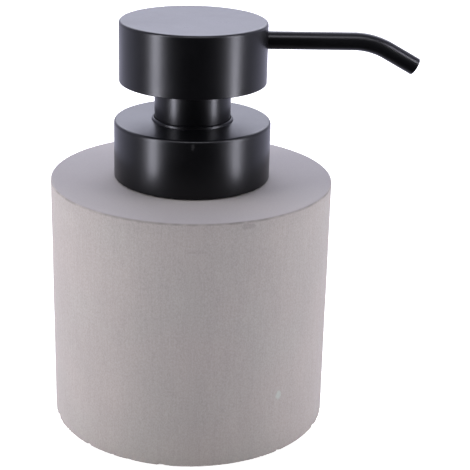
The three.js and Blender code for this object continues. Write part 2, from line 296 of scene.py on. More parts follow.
def rows_round(middle, half_height, count):
    """The heights of the rings round a hole."""
    return [middle + half_height * k / count for k in range(-count, count + 1)]


def ring_rows(radius, rows):
    """Outline points at one radius, one for each row."""
    return [(radius, row) for row in rows]


def box_between(low, high):
    """A plain block between two corners, its edges slightly rounded."""
    bm = bmesh.new()
    bmesh.ops.create_cube(bm, size=1)
    low, high = Vector(low), Vector(high)
    for vert in bm.verts:
        vert.co = low + Vector(((vert.co[i] + 0.5) * (high - low)[i] for i in range(3)))
    bmesh.ops.bevel(bm, geom=bm.edges[:], offset=0.12 * mm, segments=2, affect="EDGES")
    return outward(bm)


def outward(bm):
    """The same bmesh, each closed shell of it facing out."""
    bmesh.ops.recalc_face_normals(bm, faces=bm.faces)
    return bm


def joined(*parts):
    """Several bmeshes as one."""
    whole = parts[0]
    for part in parts[1:]:
        mesh = bpy.data.meshes.new("joining")
        part.to_mesh(mesh)
        part.free()
        whole.from_mesh(mesh)
        bpy.data.meshes.remove(mesh)
    return whole


def shaded(bm, sharp=math.radians(32)):
    """Points the faces outwards, smooths them, and keeps the real corners sharp."""
    outward(bm)
    if bm.calc_volume(signed=True) < 0:
        bmesh.ops.reverse_faces(bm, faces=bm.faces)
    for face in bm.faces:
        face.smooth = True
    for edge in bm.edges:
        if len(edge.link_faces) == 2 and edge.calc_face_angle() > sharp:
            edge.smooth = False
    return bm


def finished(make, node, look):
    """Makes a piece, gives it its finish, and puts it in the place of its node."""
    name = make.__name__
    bm = make()
    mesh = bpy.data.meshes.new(name)
    shaded(bm).to_mesh(mesh)
    bm.free()
    mesh.materials.clear()
    mesh.materials.append(finish(look))
    piece = bpy.data.objects.new(name, mesh)
    bpy.context.scene.collection.objects.link(piece)
    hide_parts(node)
    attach(piece, BODY_OF[node])
    return piece




# ---- Materials ----

class Value:
    """One output in a node tree. Arithmetic on it adds math nodes."""

    def __init__(self, nodes, socket):
        self.nodes = nodes
        self.socket = socket

    def __add__(self, other):
        return self.nodes.math("ADD", self, other)

    def __sub__(self, other):
        return self.nodes.math("SUBTRACT", self, other)

    def __rsub__(self, other):
        return self.nodes.math("SUBTRACT", other, self)

    def __mul__(self, other):
        return self.nodes.math("MULTIPLY", self, other)

    def __truediv__(self, other):
        return self.nodes.math("DIVIDE", self, other)


class Nodes:
    """A small helper that adds and links nodes in one tree."""

    def __init__(self, tree):
        self.tree = tree

    def node(self, kind, inputs, **fields):
        node = self.tree.nodes.new(kind)
        for key, value in fields.items():
            setattr(node, key, value)
        for key, value in inputs.items():
            self.put(node.inputs[key], value)
        return node

    def add(self, kind, inputs=None, out=0, **fields):
        """Adds a node, and returns one of its outputs."""
        return Value(self, self.node(kind, inputs or {}, **fields).outputs[out])

    def put(self, socket, value):
        if isinstance(value, Value):
            self.tree.links.new(value.socket, socket)
        else:
            socket.default_value = value

    def math(self, operation, *numbers):
        return self.add("ShaderNodeMath", dict(enumerate(numbers)), operation=operation)

    def ramp(self, value, low, high, to_low=0.0, to_high=1.0):
        """A value carried from one range to another, held at its ends."""
        return self.add("ShaderNodeMapRange", {
            "Value": value, "From Min": low, "From Max": high, "To Min": to_low, "To Max": to_high,
        }, "Result")

    def mix(self, factor, a, b):
        # The colour sockets of a mix node stand after its number and vector ones.
        return self.add("ShaderNodeMix", {0: factor, 6: a, 7: b}, 2, data_type="RGBA")

    def parts(self, vector):
        """The three numbers of a vector."""
        split = self.node("ShaderNodeSeparateXYZ", {"Vector": vector})
        return [Value(self, socket) for socket in split.outputs]

    def vector(self, x, y, z):
        return self.add("ShaderNodeCombineXYZ", {"X": x, "Y": y, "Z": z})

    def round_z(self, turn, radius, height):
        """The place at that angle and radius round Z, and at that height."""
        return self.vector(self.math("COSINE", turn) * radius, self.math("SINE", turn) * radius, height)

    def cloud(self, scale, detail, roughness, stretch=None):
        """Noise over the piece, drawn out along an axis where stretch says so."""
        place = self.place
        if stretch:
            place = self.add("ShaderNodeMapping", {"Vector": place, "Scale": stretch})
        return self.add("ShaderNodeTexNoise", {
            "Vector": place, "Scale": scale, "Detail": detail, "Roughness": roughness,
        }, "Fac")

    def spots(self, cell, share, size):
        """Round spots, one in some of the cells of a grid that wanders. share is how many have one."""
        cells = self.node("ShaderNodeTexVoronoi", {"Vector": self.place, "Scale": 1 / cell}).outputs
        chosen = self.node("ShaderNodeSeparateColor", {"Color": Value(self, cells["Color"])}).outputs
        here = self.math("LESS_THAN", Value(self, chosen["Red"]), share)
        radius = Value(self, chosen["Green"]) * (size / cell) + size / cell * 0.35
        return self.ramp(Value(self, cells["Distance"]), radius * 0.4, radius, 1.0, 0.0) * here

    def blot(self, centre, size, raggedness):
        """One ragged mark of that size at that place."""
        offset = self.add("ShaderNodeVectorMath", {0: self.place, 1: centre}, operation="SUBTRACT")
        scaled = self.add("ShaderNodeVectorMath", {0: offset, 1: size}, operation="DIVIDE")
        distance = self.add("ShaderNodeVectorMath", {0: scaled}, "Value", operation="LENGTH")
        return self.ramp(self.cloud(raggedness, 3, 0.7) * 1.6 + (distance - 0.8), 1.0, 0.6)

    def painted(self, colour, roughness, relief, depth):
        """Puts a colour, a roughness and a fine relief of that depth on the shader."""
        self.put(self.shader["Base Color"], colour)
        self.put(self.shader["Roughness"], roughness)
        bump = self.add("ShaderNodeBump", {"Height": relief, "Distance": depth, "Strength": 1.0})
        self.put(self.shader["Normal"], bump)


def rgba(colour, *tint):
    """A colour as a node takes it, each of its parts times its tint."""
    tint = tint if len(tint) > 1 else (tint or (1,)) * 3
    return (*[min(1, part * by) for part, by in zip(colour, tint)], 1.0)


def new_material(name):
    """A material with its nodes, its shader's sockets and the place on the piece."""
    material = bpy.data.materials.new(name)
    material.use_nodes = True
    n = Nodes(material.node_tree)
    n.shader = material.node_tree.nodes["Principled BSDF"].inputs
    n.place = n.add("ShaderNodeTexCoord", out="Object")
    return material, n


def on_skin(degrees, height, node="concrete_vessel"):
    """A place on the outside of a round piece."""
    bearing, radius = math.radians(degrees), reach(node)
    return (radius * math.cos(bearing), radius * math.sin(bearing), height)


def concrete_material():
    """Fine cast concrete: mottled, faintly streaked up and down, with small pits and pale grains."""
    material, n = new_material("cast_concrete")
    base = settings().finish.concrete
    pale, dark = rgba(base, 1.35), rgba(base, 0.55)

    cloud = n.cloud(45, 3, 0.55)
    colour = n.mix(n.ramp(cloud, 0.35, 0.65), rgba(base, 0.965, 0.985, 0.975), rgba(base, 1.02, 1.005, 1.0))
    patch = n.cloud(110, 3, 0.6, (1, 1, 0.5))
    colour = n.mix(n.ramp(patch, 0.35, 0.7, 0.0, 0.42), colour, rgba(base, 0.90))

    # Fine lines up and down, left by the mould, and a fine grain of sand and cement.
    streak = n.cloud(1700, 3, 0.75, (1, 1, 0.06))
    colour = n.mix(n.ramp(streak, 0.42, 0.72, 0.0, 0.16), colour, dark)
    grain = n.cloud(2400, 3, 0.75, (1, 1, 0.7))
    colour = n.mix(n.ramp(grain, 0.48, 0.70, 0.0, 0.26), colour, pale)
    colour = n.mix(n.ramp(grain, 0.52, 0.30, 0.0, 0.28), colour, dark)
    # The small pits are painted darker: painted shade inside them.
    pit = n.spots(6.5 * mm, 0.22, 0.22 * mm)
    colour = n.mix(pit * 0.5, colour, dark)
    colour = n.mix(n.spots(16 * mm, 0.16, 0.40 * mm) * 0.45, colour, pale)

    # The top face is tinted a little cooler: painted cool light falling on it.
    edge = top("concrete_vessel")
    x, y, height = n.parts(n.place)
    on_top = n.ramp(height, edge - 0.25 * mm, edge - 0.05 * mm)
    colour = n.mix(on_top * 0.7, colour, rgba(base, 0.98, 1.02, 1.07))
    # A thin dark line runs along the top edge, and the cement below it is a little darker.
    rim = reach("concrete_vessel") - 0.7 * mm
    away = n.add("ShaderNodeVectorMath", {0: n.vector(x, y, 0.0)}, "Value", operation="LENGTH")
    on_side = n.ramp(away, rim, rim + 0.2 * mm)
    drop = n.math("SUBTRACT", edge, height)
    line = n.ramp(drop, 0.03 * mm, 0.15 * mm) * n.ramp(drop, 0.75 * mm, 0.45 * mm)
    wear = n.ramp(n.cloud(260, 2, 0.5), 0.35, 0.6, 0.25, 1.0)
    colour = n.mix(line * on_side * wear * 0.75, colour, dark)
    colour = n.mix(n.ramp(drop, 5 * mm, 0.5 * mm) * on_side * 0.10, colour, dark)

    # One pale grain low on the front, a scuff just under the top edge, and a faint scratch.
    for degrees, level, size, raggedness, strength, tone in (
            (-52.5, 19.4 * mm, (1.3, 1.3, 1.5), 1300, 0.42, (0.44, 0.53, 0.51, 1.0)),
            (-69, edge - 1.6 * mm, (3.0, 1.6, 1.1), 700, 0.36, dark),
            (-88.5, edge - 8.4 * mm, (3.6, 3, 0.6), 900, 0.14, dark)):
        mark = n.blot(on_skin(degrees, level), Vector(size) * mm, raggedness)
        colour = n.mix(mark * strength, colour, tone)

    n.shader["Specular IOR Level"].default_value = 0.25
    n.painted(colour, n.ramp(cloud, 0.3, 0.7, 0.82, 0.95), grain * 0.7 + streak * 0.25 - pit * 2.0, 0.05 * mm)
    return material


def black_metal_material():
    """Satin black coating on metal, with a very fine texture and a little uneven sheen."""
    material, n = new_material("satin_black")
    look = settings().finish
    smudge = n.cloud(60, 4, 0.6)
    fine = n.cloud(5200, 2, 0.5)
    ripple = n.cloud(420, 2, 0.5)
    colour = n.mix(n.ramp(smudge, 0.35, 0.7), rgba(look.black), rgba(look.black, 1.5))
    # A few grains of dust, and a small nick in the cover's front, just under its top edge.
    dust = (0.030, 0.030, 0.032, 1.0)
    colour = n.mix(n.spots(5.5 * mm, 0.20, 0.16 * mm) * 0.8, colour, dust)
    nick = n.blot(on_skin(-90.5, top("closure_cover") - 2.6 * mm, "closure_cover"),
                  Vector((0.55, 0.7, 1.1)) * mm, 1500)
    colour = n.mix(nick * 0.7, colour, dust)
    rough = n.ramp(smudge, 0.3, 0.7, look.black_roughness - 0.02, look.black_roughness + 0.03)
    n.shader["IOR"].default_value = 1.3
    n.painted(colour, rough + n.ramp(fine, 0.3, 0.7, -0.015, 0.015), ripple * 0.6 + fine * 0.25, 0.004 * mm)
    return material


def plastic_material(name, colour, roughness, clear=0.0, cloudiness=0.15):
    """Moulded plastic with a faint flow pattern. clear lets light through."""
    material, n = new_material(name)
    flow = n.cloud(180, 3, 0.5, (1, 1, 0.3))
    grain = n.cloud(3000, 2, 0.5)
    tone = n.mix(n.ramp(flow, 0.3, 0.7), rgba(colour), rgba(colour, 1 + cloudiness))
    n.shader["Transmission Weight"].default_value = clear
    rough = n.ramp(grain, 0.3, 0.7, roughness - 0.04, roughness + 0.04)
    n.painted(tone, rough, flow * 0.5 + grain, 0.006 * mm)
    return material


def foam_material():
    """Closed-cell foam: small round cells, matt."""
    material, n = new_material("dark_foam")
    cells = n.add("ShaderNodeTexVoronoi", {"Vector": n.place, "Scale": 1400}, "Distance")
    tone = n.ramp(cells, 0.0, 0.7)
    colour = n.mix(tone, (0.035, 0.035, 0.036, 1.0), (0.015, 0.015, 0.016, 1.0))
    n.painted(colour, n.ramp(tone, 0, 1, 0.85, 0.95), cells, 0.12 * mm)
    return material


def steel_material():
    """Drawn stainless wire and a polished ball: bright, with fine drawing lines."""
    material, n = new_material("drawn_steel")
    lines = n.cloud(1800, 2, 0.5, (0.4, 0.4, 3))
    colour = n.mix(n.ramp(lines, 0.3, 0.7), (0.52, 0.52, 0.53, 1.0), (0.66, 0.66, 0.67, 1.0))
    n.shader["Metallic"].default_value = 1.0
    n.painted(colour, n.ramp(lines, 0.3, 0.7, 0.16, 0.26), lines, 0.003 * mm)
    return material


MAKERS = {
    "cast_concrete": concrete_material,
    "satin_black": black_metal_material,
    "black_plastic": lambda: plastic_material("black_plastic", (0.016, 0.016, 0.017), 0.42),
    "clear_plastic": lambda: plastic_material("clear_plastic", (0.55, 0.58, 0.57), 0.22, clear=0.38),
    "white_plastic": lambda: plastic_material("white_plastic", (0.80, 0.80, 0.78), 0.38, cloudiness=0.04),
    "dark_foam": foam_material,
    "drawn_steel": steel_material,
}
FINISHES = {}


def finish(name):
    """The material of that name, made the first time it is asked for."""
    if name not in FINISHES:
        FINISHES[name] = MAKERS[name]()
    return FINISHES[name]


# ---- Geometry node trees ----

def new_tree(name, sockets):
    """A geometry tree with named inputs, given as label and default. It also takes a base and a material."""
    tree = bpy.data.node_groups.new(name, "GeometryNodeTree")
    for label in ("Geometry", "Material"):
        tree.interface.new_socket(label, in_out="INPUT", socket_type="NodeSocket" + label)
    for label, default in sockets.items():
        kind = "NodeSocketInt" if isinstance(default, int) else "NodeSocketFloat"
        tree.interface.new_socket(label, in_out="INPUT", socket_type=kind).default_value = default
    tree.interface.new_socket("Geometry", in_out="OUTPUT", socket_type="NodeSocketGeometry")
    n = Nodes(tree)
    outputs = tree.nodes.new("NodeGroupInput").outputs
    given = {label: Value(n, outputs[label]) for label in ("Geometry", "Material", *sockets)}
    return tree, n, given


def delivered(n, geometry, given):
    """Ends a tree: real geometry with its material on it."""
    real = n.add("GeometryNodeRealizeInstances", {"Geometry": geometry})
    painted = n.add("GeometryNodeSetMaterial", {"Geometry": real, "Material": given["Material"]})
    n.put(n.tree.nodes.new("NodeGroupOutput").inputs["Geometry"], painted)
    return n.tree


def coil_tree():
    """A compression spring: wire wound round Z, its end coils closed up."""
    tree, n, given = new_tree("Compression spring", {
        "Bottom": 0.0, "Top": 20 * mm, "Radius": 4 * mm, "Wire": 0.45 * mm, "Turns": 9.0,
    })
    turns, wire = given["Turns"], given["Wire"]
    path = n.add("GeometryNodeCurvePrimitiveLine", {"Start": (0, 0, 0), "End": (0, 0, 1)})
    fine = n.add("GeometryNodeResampleCurve", {"Curve": path, "Count": 540})
    wound = n.add("GeometryNodeSplineParameter", out="Factor") * turns
    # A closed coil rises by its own wire. What is left of the height goes to the open coils.
    dead = 1.25
    first = n.math("MINIMUM", wound, dead)
    last = n.math("MAXIMUM", wound - (turns - dead), 0.0)
    closed_rise = (first + last) * (wire * 2.02)
    start = given["Bottom"] + wire
    span = given["Top"] - wire - start
    pitch = (span - wire * (2.02 * 2 * dead)) / (turns - 2 * dead)
    height = start + (closed_rise + (wound - first - last) * pitch)
    spot = n.round_z(wound * TURN, given["Radius"], height)
    coiled = n.add("GeometryNodeSetPosition", {"Geometry": fine, "Position": spot})
    section = n.add("GeometryNodeCurvePrimitiveCircle", {"Resolution": 12, "Radius": wire}, "Curve")
    body = n.add("GeometryNodeCurveToMesh", {"Curve": coiled, "Profile Curve": section, "Fill Caps": True})
    return delivered(n, body, given)


def thread_tree():
    """A thread ridge round Z with a foot sunk in its wall. It runs out at both ends."""
    tree, n, given = new_tree("Thread ridge", {
        "Foot": 12.3 * mm, "Crest": 13.7 * mm, "Top": 86 * mm, "Pitch": 4.2 * mm, "From": 0.0, "To": 1.1,
        "Root width": 1.7 * mm, "Crest width": 0.9 * mm,
    })
    strip = n.add("GeometryNodeMeshGrid", {
        "Size X": 1.0, "Size Y": 1.0, "Vertices X": 160, "Vertices Y": 5,
    }, "Mesh")
    x, y, _ = n.parts(n.add("GeometryNodeInputPosition"))
    along = x + 0.5
    row = n.math("ROUND", (y + 0.5) * 4.0)
    turn = along * (given["To"] - given["From"]) + given["From"]
    # Rows 0 and 3 are the two feet, rows 1 and 2 the edges of the crest, and row 4 is row 0 again.
    on_crest = n.math("GREATER_THAN", row, 0.5) * n.math("LESS_THAN", row, 2.5)
    upper = n.math("GREATER_THAN", row, 1.5) * n.math("LESS_THAN", row, 3.5)
    share = n.ramp(n.math("MINIMUM", along, 1.0 - along), 0.0, 0.09, 0.05, 1.0)
    width = n.add("ShaderNodeMix", {0: on_crest, 2: given["Root width"], 3: given["Crest width"]},
                  data_type="FLOAT")
    radius = on_crest * ((given["Crest"] - given["Foot"]) * share) + given["Foot"]
    height = given["Top"] - turn * given["Pitch"] + (upper - 0.5) * width
    spot = n.round_z(turn * -TURN, radius, height)
    return delivered(n, n.add("GeometryNodeSetPosition", {"Geometry": strip, "Position": spot}), given)


def ribs_tree():
    """Copies of a rib set round Z at equal angles, with some left out at the end of the turn."""
    tree, n, given = new_tree("Ribs round an axis", {"Count": 8, "Left out": 0, "First angle": 0.0})
    points = n.add("GeometryNodePoints", {"Count": given["Count"] - given["Left out"]})
    step = n.math("DIVIDE", TURN, given["Count"])
    bearing = n.add("GeometryNodeInputIndex") * step + given["First angle"]
    copies = n.add("GeometryNodeInstanceOnPoints", {
        "Points": points, "Instance": given["Geometry"], "Rotation": n.vector(0.0, 0.0, bearing),
    })
    return delivered(n, copies, given)


def bend_tree():
    """Bends a straight piece that lies along X down into an arc, and straight on after it."""
    tree, n, given = new_tree("Bend a tube", {
        "Start": 47 * mm, "Height": 118 * mm, "Radius": 21 * mm, "Angle": 0.5,
    })
    x, y, offset = n.parts(n.add("GeometryNodeInputPosition"))
    past_start = n.math("MAXIMUM", x - given["Start"], 0.0)
    turn = n.math("MINIMUM", past_start / given["Radius"], given["Angle"])
    beyond = past_start - turn * given["Radius"]
    sine, cosine = n.math("SINE", turn), n.math("COSINE", turn)
    swing = sine * given["Radius"] + beyond * cosine
    across = n.math("MINIMUM", x, given["Start"]) + swing + offset * sine
    fall = (1.0 - cosine) * given["Radius"] + beyond * sine
    spot = n.vector(across, y, given["Height"] - fall + offset * cosine)
    bent = n.add("GeometryNodeSetPosition", {"Geometry": given["Geometry"], "Position": spot})
    return delivered(n, bent, given)


def grown(maker, values, look, base=None):
    """Runs a geometry tree on a bmesh, or on nothing, and returns the result as a bmesh."""
    mesh = bpy.data.meshes.new("growing")
    if base:
        base.to_mesh(mesh)
        base.free()
    tree = maker()
    holder = bpy.data.objects.new("growing", mesh)
    bpy.context.scene.collection.objects.link(holder)
    modifier = holder.modifiers.new(tree.name, "NODES")
    modifier.node_group = tree
    values = {**values, "Material": finish(look)}
    for item in tree.interface.items_tree:
        if item.in_out == "INPUT" and item.name in values:
            modifier[item.identifier] = values[item.name]
    depsgraph = bpy.context.evaluated_depsgraph_get()
    result = bpy.data.meshes.new_from_object(holder.evaluated_get(depsgraph), depsgraph=depsgraph)
    bpy.data.objects.remove(holder)
    bm = bmesh.new()
    bm.from_mesh(result)
    bmesh.ops.remove_doubles(bm, verts=bm.verts, dist=MERGE)
    return bm


def thread(foot, crest, start, turns, look):
    """A closed thread ridge on a wall, between two turns counted down from its start."""
    ridge = grown(thread_tree, {
        "Foot": foot, "Crest": crest, "Top": start, "Pitch": settings().pump.thread_pitch,
        "From": turns[0], "To": turns[1],
    }, look)
    ends = [edge for edge in ridge.edges if len(edge.link_faces) == 1]
    bmesh.ops.holes_fill(ridge, edges=ends, sides=8)
    return outward(ridge)


# ---- The vessel ----

def cast_body():
    """The cast body. Its skin wanders a little, and its bottom edge is chipped."""
    s = settings().vessel
    radius, low, high = extent("concrete_vessel")
    pad_edge = reach("base_pad") + GAP
    pad_seat = top("base_pad") + GAP
    flange = reach("neck_insert") + GAP
    flange_seat = high - 2.2 * mm
    mouth = 14.6 * mm
    ceiling = high - s.shoulder
    cavity = radius - s.wall
    outline = rounded([
        (0, pad_seat),
        (pad_edge, pad_seat),
        (pad_edge, low, 0.25 * mm),
        (radius, low, s.base_round),
        (radius, high, s.top_round),
        (flange, high, 0.2 * mm),
        (flange, flange_seat),
        (mouth, flange_seat),
        (mouth, ceiling, 0.4 * mm),
        (cavity, ceiling, 4.5 * mm),
        (cavity, s.floor, 6 * mm),
        (0, s.floor),
    ], 6)

    def pieces_of(here, there):
        """The outside is cut fine, so that it can wander. The cavity is not."""
        outer = min(here.x, there.x) > cavity + mm or min(here.y, there.y) > high - 0.01 * mm
        return max(1, math.ceil((there - here).length / (0.9 * mm))) if outer else 1

    bm = turned([*subdivided(outline, pieces_of), outline[-1]], 400, closed=False)
    for vert in bm.verts:
        roughen(vert, radius, low, high, s)
    return bm


def roughen(vert, radius, low, high, s):
    """Moves one point of the cast skin: a slow wander, and chips along the bottom edge."""
    out = math.hypot(vert.co.x, vert.co.y)
    if out < radius - s.base_round - 0.4 * mm:
        return
    wander = noise.noise(vert.co * 60) + 0.5 * noise.noise(vert.co * 160)
    shift = wander * s.waviness
    above = vert.co.z - low
    if above < 4 * mm:
        around = Vector((vert.co.x, vert.co.y, 0)).normalized()
        ragged = noise.noise(around * 13.0 + Vector((3.1, 0, 0))) + 0.5 * noise.noise(around * 47.0)
        bite = max(0.0, ragged - 0.22) * s.chipping
        bite += 0.12 * s.chipping * abs(noise.noise(vert.co * 700))
        shift -= bite * max(0.0, 1 - above / (1.6 * mm)) ** 1.5
    below_top = high - vert.co.z
    if below_top < 1.2 * mm:
        nick = max(0.0, noise.noise(vert.co * 240 + Vector((7.7, 1.3, 0))) - 0.28)
        shift -= nick * 0.35 * mm * (1 - below_top / (1.2 * mm))
    scale = (out + shift) / out
    vert.co.x *= scale
    vert.co.y *= scale


def threaded_neck():
    """The moulded neck: skirt, flange, screw neck with its bead, and the thread on it."""
    flange, foot, lip = extent("neck_insert")
    bore, root, skirt = 11.5 * mm, 12.7 * mm, 14.3 * mm
    seat = top("concrete_vessel")
    bead = seat + 0.6 * mm
    bead_edge = root + 0.7 * mm
    body = lathe([
        (bore, foot, 0.2 * mm),
        (skirt, foot, 0.3 * mm),
        (skirt, seat - 1.9 * mm),
        (flange, seat - 1.9 * mm, 0.2 * mm),
        (flange, seat - 0.05 * mm, 0.3 * mm),
        (root, seat - 0.05 * mm, 0.3 * mm),
        (root, bead),
        (bead_edge, bead + 0.35 * mm, 0.12 * mm),
        (bead_edge, bead + 0.7 * mm, 0.12 * mm),
        (root, bead + 1.05 * mm),
        (root, lip, 0.35 * mm),
        (bore, lip, 0.25 * mm),
    ], MOULDED_SIDES, 4)
    ridge = thread(root - 0.4 * mm, root + 1.0 * mm, lip - 1.0 * mm, (0.0, 1.1), "black_plastic")
    return joined(outward(body), ridge)


def underside_pad():
    """The soft pad in the underside."""
    radius, low, high = extent("base_pad")
    return lathe([(0, low), (radius, low, 0.4 * mm), (radius, high, 0.3 * mm), (0, high)], ROUND_SIDES, 4)


# ---- The closure ----

def metal_cover():
    """The cover: a shallow cup with a hole for the neck, and a raised lip round the hole."""
    s = settings().pump
    radius, low, lip_top = extent("closure_cover")
    plate = lip_top - 0.9 * mm
    inside = radius - s.metal_wall
    ceiling = top("screw_ring") + GAP
    hole = reach("collar_sleeve") + 0.25 * mm
    return lathe([
        (inside, low, 0.25 * mm),
        (radius, low, 0.4 * mm),
        (radius, plate, s.edge_round),
        (hole + 0.55 * mm, plate, 0.15 * mm),
        (hole + 0.45 * mm, lip_top - 0.3 * mm, 0.15 * mm),
        (hole + 0.15 * mm, lip_top, 0.1 * mm),
        (hole, lip_top),
        (hole, ceiling),
        (inside, ceiling, 0.3 * mm),
    ], ROUND_SIDES)


def screw_cap():
    """The moulded cap under the cover: a threaded sleeve and an outer sleeve joined by ribs."""
    outer, low, high = extent("screw_ring")
    skirt = outer - 1.2 * mm
    thread_wall, sleeve, hole = 14.1 * mm, 15.9 * mm, 11.75 * mm
    plate = high - 1.6 * mm
    body = lathe([
        (thread_wall, low + GAP, 0.2 * mm),
        (sleeve, low + GAP, 0.3 * mm),
        (sleeve, plate, 0.4 * mm),
        (skirt, plate, 0.4 * mm),
        (skirt, low, 0.2 * mm),
        (outer, low, 0.3 * mm),
        (outer, high, 0.5 * mm),
        (hole, high, 0.25 * mm),
        (hole, plate, 0.2 * mm),
        (thread_wall, plate),
    ], MOULDED_SIDES, 4)
    ridge = thread(thread_wall + 0.4 * mm, thread_wall - 1.0 * mm, top("neck_insert") - 2.5 * mm,
                   (0.2, 1.15), "black_plastic")
    half, sunk = 0.6 * mm, 0.3 * mm
    rib = box_between((sleeve - sunk, -half, low + 5 * mm), (skirt + sunk, half, plate + sunk))
    ribs = grown(ribs_tree, {"Count": 8, "First angle": TURN / 16}, "black_plastic", rib)
    return joined(outward(body), ridge, outward(ribs))


def sealing_ring():
    """The soft ring between the neck's lip and the pump."""
    edge, low, high = extent("neck_gasket")
    hole, soft = 7.3 * mm, 0.2 * mm
    ring = [(hole, low, soft), (edge, low, soft), (edge, high, soft), (hole, high, soft)]
    return lathe(ring, MOULDED_SIDES, 3)


# ---- The pump's fixed pieces ----

STEM_RADIUS = 4.0 * mm  # above the stem's shoulder, where the guide and the wiper hold it


def pump_barrel():
    """The pump's cylinder, from the snap bead at its top to the socket for the suction tube."""
    flange, low, high = extent("pump_housing")
    flange_top = bottom("collar_sleeve") - GAP
    ledge = bottom("ball_retainer") - GAP
    bore, outer, neck = 6 * mm, 7 * mm, 8 * mm
    chamber, throat, socket = 3.3 * mm, 1.7 * mm, 3.1 * mm
    foot, waist = 4.1 * mm, 4.8 * mm
    seat = ledge - 5.5 * mm
    socket_top = top("dip_tube") + GAP
    bead = flange_top + 2.2 * mm
    rows = rows_round(flange_top - 4.4 * mm, 1.4 * mm, 3)
    bm = lathe([
        (socket, low, 0.2 * mm),
        (foot, low, 0.3 * mm),
        (foot, seat - 1.2 * mm, 0.3 * mm),
        (waist, seat - 0.2 * mm, 0.3 * mm),
        (waist, seat + 2.8 * mm, 0.4 * mm),
        (outer, ledge - 0.5 * mm, 0.6 * mm),
        *ring_rows(outer, rows),
        (outer, flange_top - 1.8 * mm, 0.3 * mm),
        (flange, flange_top - 1.8 * mm, 0.2 * mm),
        (flange, flange_top, 0.3 * mm),
        (neck, flange_top, 0.2 * mm),
        (neck, bead - 0.35 * mm, 0.1 * mm),
        (neck + 0.35 * mm, bead, 0.12 * mm),
        (neck, bead + 0.35 * mm, 0.1 * mm),
        (neck, high, 0.3 * mm),
        (bore, high, 0.2 * mm),
        *ring_rows(bore, reversed(rows)),
        (bore, ledge),
        (chamber, ledge, 0.2 * mm),
        (chamber, seat + 1.4 * mm, 0.2 * mm),
        (throat, seat, 0.15 * mm),
        (throat, socket_top),
        (socket, socket_top),
    ], SMALL_SIDES, 4)
    return pierced(bm, SMALL_SIDES, SMALL_SIDES // 4, rows, (outer, bore), 0.6 * mm)


def guide_collar():
    """The collar that snaps over the cylinder and guides the stem."""
    outer, low, high = extent("stem_guide")
    web = top("pump_housing") + GAP
    web_top = web + 1.6 * mm
    hole = STEM_RADIUS + 0.4 * mm
    below, above = 8.75 * mm, 8.3 * mm
    return lathe([
        (below, low, 0.2 * mm),
        (outer, low, 0.2 * mm),
        (outer, high, 0.3 * mm),
        (above, high, 0.3 * mm),
        (above, web_top, 0.3 * mm),
        (hole, web_top, 0.25 * mm),
        (hole, web, 0.2 * mm),
        (below, web, 0.2 * mm),
    ], SMALL_SIDES, 4)


def wiper_ring():
    """The ring whose lip wipes the stem."""
    edge, low, high = extent("stem_wiper")
    lip = STEM_RADIUS + GAP
    return lathe([
        (lip + 0.5 * mm, low, 0.15 * mm),
        (edge, low, 0.15 * mm),
        (edge, high, 0.2 * mm),
        (lip, high, 0.1 * mm),
        (lip, high - 0.7 * mm, 0.1 * mm),
    ], SMALL_SIDES, 3)


def neck_sleeve():
    """The black sleeve that shows as the neck. Its top turns in over the guide."""
    radius, low, high = extent("collar_sleeve")
    wall, hole = 0.6 * mm, 8.7 * mm
    return lathe([
        (radius - wall, low, 0.1 * mm),
        (radius, low, 0.1 * mm),
        (radius, high, 0.35 * mm),
        (hole, high, 0.15 * mm),
        (hole, high - wall, 0.1 * mm),
        (radius - wall, high - wall, 0.1 * mm),
    ], ROUND_SIDES, 5)


def suction_tube():
    """The suction tube, cut on the slant at its foot."""
    outer, low, high = extent("dip_tube")
    bore = 2 * mm
    bm = lathe([(bore, low), (outer, low), (outer, high, 0.15 * mm), (bore, high, 0.15 * mm)], 64, 3)
    for vert in bm.verts:
        if vert.co.z < low + 0.1 * mm:
            vert.co.z = low + outer - vert.co.x
    return bm


def slotted_retainer():
    """The disc over the inlet ball. Three slots round its hole let the soap past."""
    edge, low, high = extent("ball_retainer")
    hole, slot_end, slot_half = 1.3 * mm, 3.1 * mm, 0.6 * mm
    sides = 180

    def inner(column):
        """Slot ends are arcs, and slot sides are parallel to the slot's middle."""
        off = (TURN * column / sides + TURN / 6) % (TURN / 3) - TURN / 6
        return max(hole, min(slot_end, slot_half / max(1e-6, abs(math.sin(off)))))

    bm = bmesh.new()
    rings = [circle(bm, radius, height, sides)
             for radius, height in ((inner, low), (edge, low), (edge, high), (inner, high))]
    for lower, upper in zip(rings, rings[1:] + rings[:1]):
        stitch(bm, lower, upper)
    return bm


def steel_ball():
    """The inlet valve's ball."""
    low, high = bottom("inlet_ball"), top("inlet_ball")
    radius = (high - low) / 2
    steps = 32
    turns = [math.pi * k / steps for k in range(steps + 1)]
    arc = [Vector((radius * math.sin(turn), low + radius - radius * math.cos(turn))) for turn in turns]
    arc[0].x = arc[-1].x = 0
    return turned(arc, 64, closed=False)


# ---- The pump's moving pieces ----

def hollow_stem():
    """The hollow stem, with the soap's port across its foot."""
    widest, low, high = extent("pump_stem")
    shoulder = low + 7.2 * mm
    bore, neck = 2 * mm, 3.3 * mm
    sides = 72
    rows = rows_round(low + 2.1 * mm, 1.4 * mm, 6)
    bm = lathe([
        *ring_rows(bore, reversed(rows)),
        (bore, low, 0.15 * mm),
        (neck, low, 0.2 * mm),
        *ring_rows(neck, rows),
        (neck, shoulder, 0.15 * mm),
        (widest, shoulder, 0.15 * mm),
        (widest, shoulder + 1 * mm, 0.15 * mm),
        (STEM_RADIUS, shoulder + 2 * mm, 0.4 * mm),
        (STEM_RADIUS, high, 0.3 * mm),
        (bore, high, 0.2 * mm),
    ], sides, 4)
    for column in (sides // 4, sides * 3 // 4):
        pierced(bm, sides, column, rows, (neck, bore), 0.8 * mm)
    return bm


